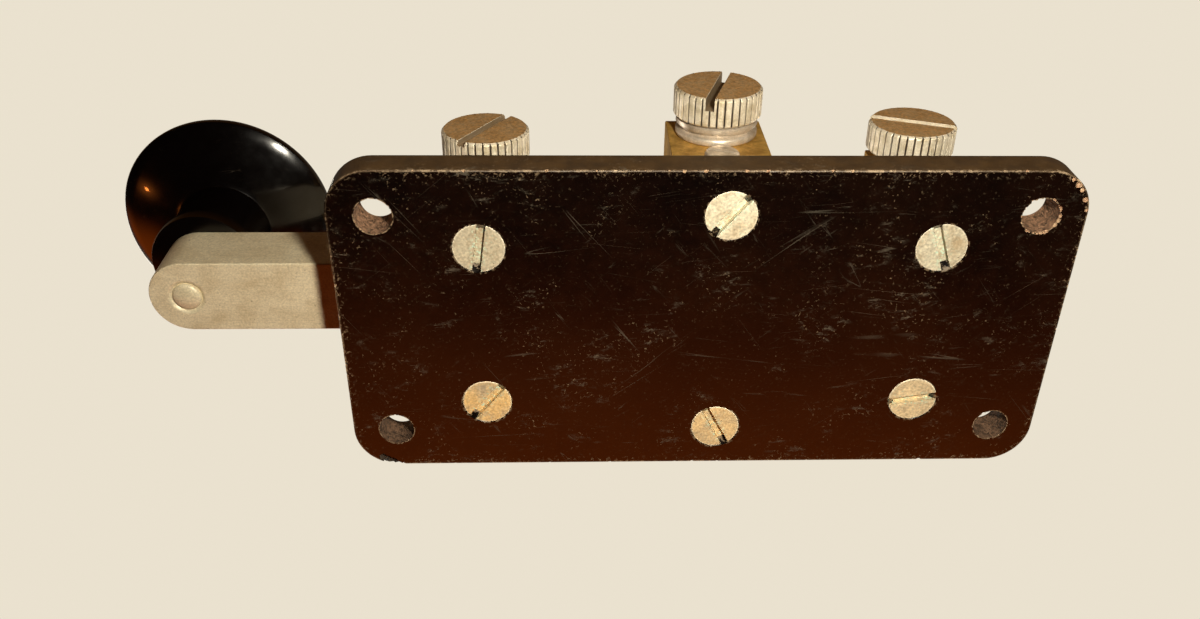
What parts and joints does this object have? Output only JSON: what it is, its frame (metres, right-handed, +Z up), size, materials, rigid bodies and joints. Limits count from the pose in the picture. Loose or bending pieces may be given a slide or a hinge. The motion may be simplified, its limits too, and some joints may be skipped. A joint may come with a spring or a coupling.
{
  "type": "telegraph key",
  "caption": "Straight telegraph key: a sprung, pivoted lever with a round knob over fixed contacts on a moulded base, with slotted knurled terminal screws along one side.",
  "frame": {"origin": "centre of the base plate's lower face, midway between the four mounting holes", "axes": "+X towards the rear end, away from the knob; +Y away from the terminal side; +Z up, from the base towards the lever"},
  "size_m": [0.1621, 0.0584, 0.048],
  "materials": {
    "base_plastic": "glossy moulded plastic with worn edges",
    "knob_plastic": "polished moulded plastic",
    "bracket_brass": "aged brass",
    "screw_nickel": "dull worn plating over brass",
    "head_nickel": "nickel-plated brass, worn on the faces",
    "lever_nickel": "satin nickel-plated brass bar",
    "spring_steel": "bright steel",
    "contact_silver": "bright contact metal"
  },
  "bodies": {
    "base": {"base_plate": "base_plastic", "front_bracket_screws": "screw_nickel", "pivot_bracket_screws": "screw_nickel", "rear_bracket_screws": "screw_nickel", "front_bracket": "bracket_brass", "pivot_bracket": "bracket_brass", "rear_bracket": "bracket_brass", "front_anvil": "contact_silver", "rear_anvil": "contact_silver", "return_spring": "spring_steel"},
    "lever_assembly": {"lever": "lever_nickel", "lever_axle": "spring_steel", "lever_contact": "contact_silver", "knob_stud": "lever_nickel", "knob": "knob_plastic"},
    "near_pivot_screw": {"near_pivot_screw": "screw_nickel"},
    "far_pivot_screw": {"far_pivot_screw": "screw_nickel"},
    "front_terminal_washer": {"front_terminal_washer": "head_nickel"},
    "front_terminal_screw": {"front_terminal_screw": "head_nickel"},
    "pivot_terminal_collar": {"pivot_terminal_collar": "head_nickel"},
    "pivot_terminal_screw": {"pivot_terminal_screw": "head_nickel"},
    "rear_terminal_washer": {"rear_terminal_washer": "head_nickel"},
    "rear_terminal_screw": {"rear_terminal_screw": "head_nickel"},
    "spring_lock_nut": {"spring_lock_nut": "head_nickel"},
    "spring_screw": {"spring_screw": "head_nickel"},
    "gap_lock_nut": {"gap_lock_nut": "head_nickel"},
    "gap_screw": {"gap_screw": "head_nickel"}
  },
  "joints": [
    {"name": "lever_press", "type": "hinge", "parent": "base", "child": "lever_assembly", "pos_m": [0.0032, 0, 0.0152], "axis": [0, -1, 0], "range_deg": [0, 1.35], "stiffness_Nm_per_rad": 1, "springref_deg": -11.46, "deforming": ["return_spring"]},
    {"name": "near_pivot_screw_turn", "type": "hinge", "parent": "base", "child": "near_pivot_screw", "pos_m": [0.0032, -0.0232, 0.0152], "axis": [0, -1, 0], "range_deg": [-45, 45]},
    {"name": "far_pivot_screw_turn", "type": "hinge", "parent": "base", "child": "far_pivot_screw", "pos_m": [0.0032, 0.0232, 0.0152], "axis": [0, 1, 0], "range_deg": [-45, 45]},
    {"name": "front_terminal_travel", "type": "slide", "parent": "base", "child": "front_terminal_washer", "axis": [0, -1, 0], "range_m": [0, 0.00243]},
    {"name": "front_terminal_turn", "type": "hinge", "parent": "front_terminal_washer", "child": "front_terminal_screw", "pos_m": [-0.0353, -0.0191, 0.025], "axis": [0, -1, 0], "range_deg": [0, 1081]},
    {"name": "pivot_terminal_travel", "type": "slide", "parent": "base", "child": "pivot_terminal_collar", "axis": [0, -1, 0], "range_m": [0, 0.00243]},
    {"name": "pivot_terminal_turn", "type": "hinge", "parent": "pivot_terminal_collar", "child": "pivot_terminal_screw", "pos_m": [0.0032, -0.0265, 0.025], "axis": [0, -1, 0], "range_deg": [0, 1081]},
    {"name": "rear_terminal_travel", "type": "slide", "parent": "base", "child": "rear_terminal_washer", "axis": [0, -1, 0], "range_m": [-0.00117, 0.00121]},
    {"name": "rear_terminal_turn", "type": "hinge", "parent": "rear_terminal_washer", "child": "rear_terminal_screw", "pos_m": [0.0364, -0.0203, 0.025], "axis": [0, -1, 0], "range_deg": [-521, 541]},
    {"name": "spring_nut_lift", "type": "slide", "parent": "lever_assembly", "child": "spring_lock_nut", "axis": [0, 0, 1], "range_m": [0, 0.00121]},
    {"name": "spring_screw_turn", "type": "hinge", "parent": "spring_lock_nut", "child": "spring_screw", "pos_m": [-0.017, 0, 0.0225], "axis": [0, 0, 1], "range_deg": [0, 541]},
    {"name": "gap_nut_lift", "type": "slide", "parent": "lever_assembly", "child": "gap_lock_nut", "axis": [0, 0, 1], "range_m": [0, 0.00121]},
    {"name": "gap_screw_turn", "type": "hinge", "parent": "gap_lock_nut", "child": "gap_screw", "pos_m": [0.0364, 0, 0.0225], "axis": [0, 0, 1], "range_deg": [0, 541]}
  ],
  "couplings": [
    {"joint": "front_terminal_turn", "follows": "front_terminal_travel", "rad_per_m": 7757},
    {"joint": "pivot_terminal_turn", "follows": "pivot_terminal_travel", "rad_per_m": 7757},
    {"joint": "rear_terminal_turn", "follows": "rear_terminal_travel", "rad_per_m": 7757},
    {"joint": "spring_screw_turn", "follows": "spring_nut_lift", "rad_per_m": 7757},
    {"joint": "gap_screw_turn", "follows": "gap_nut_lift", "rad_per_m": 7757}
  ]
}
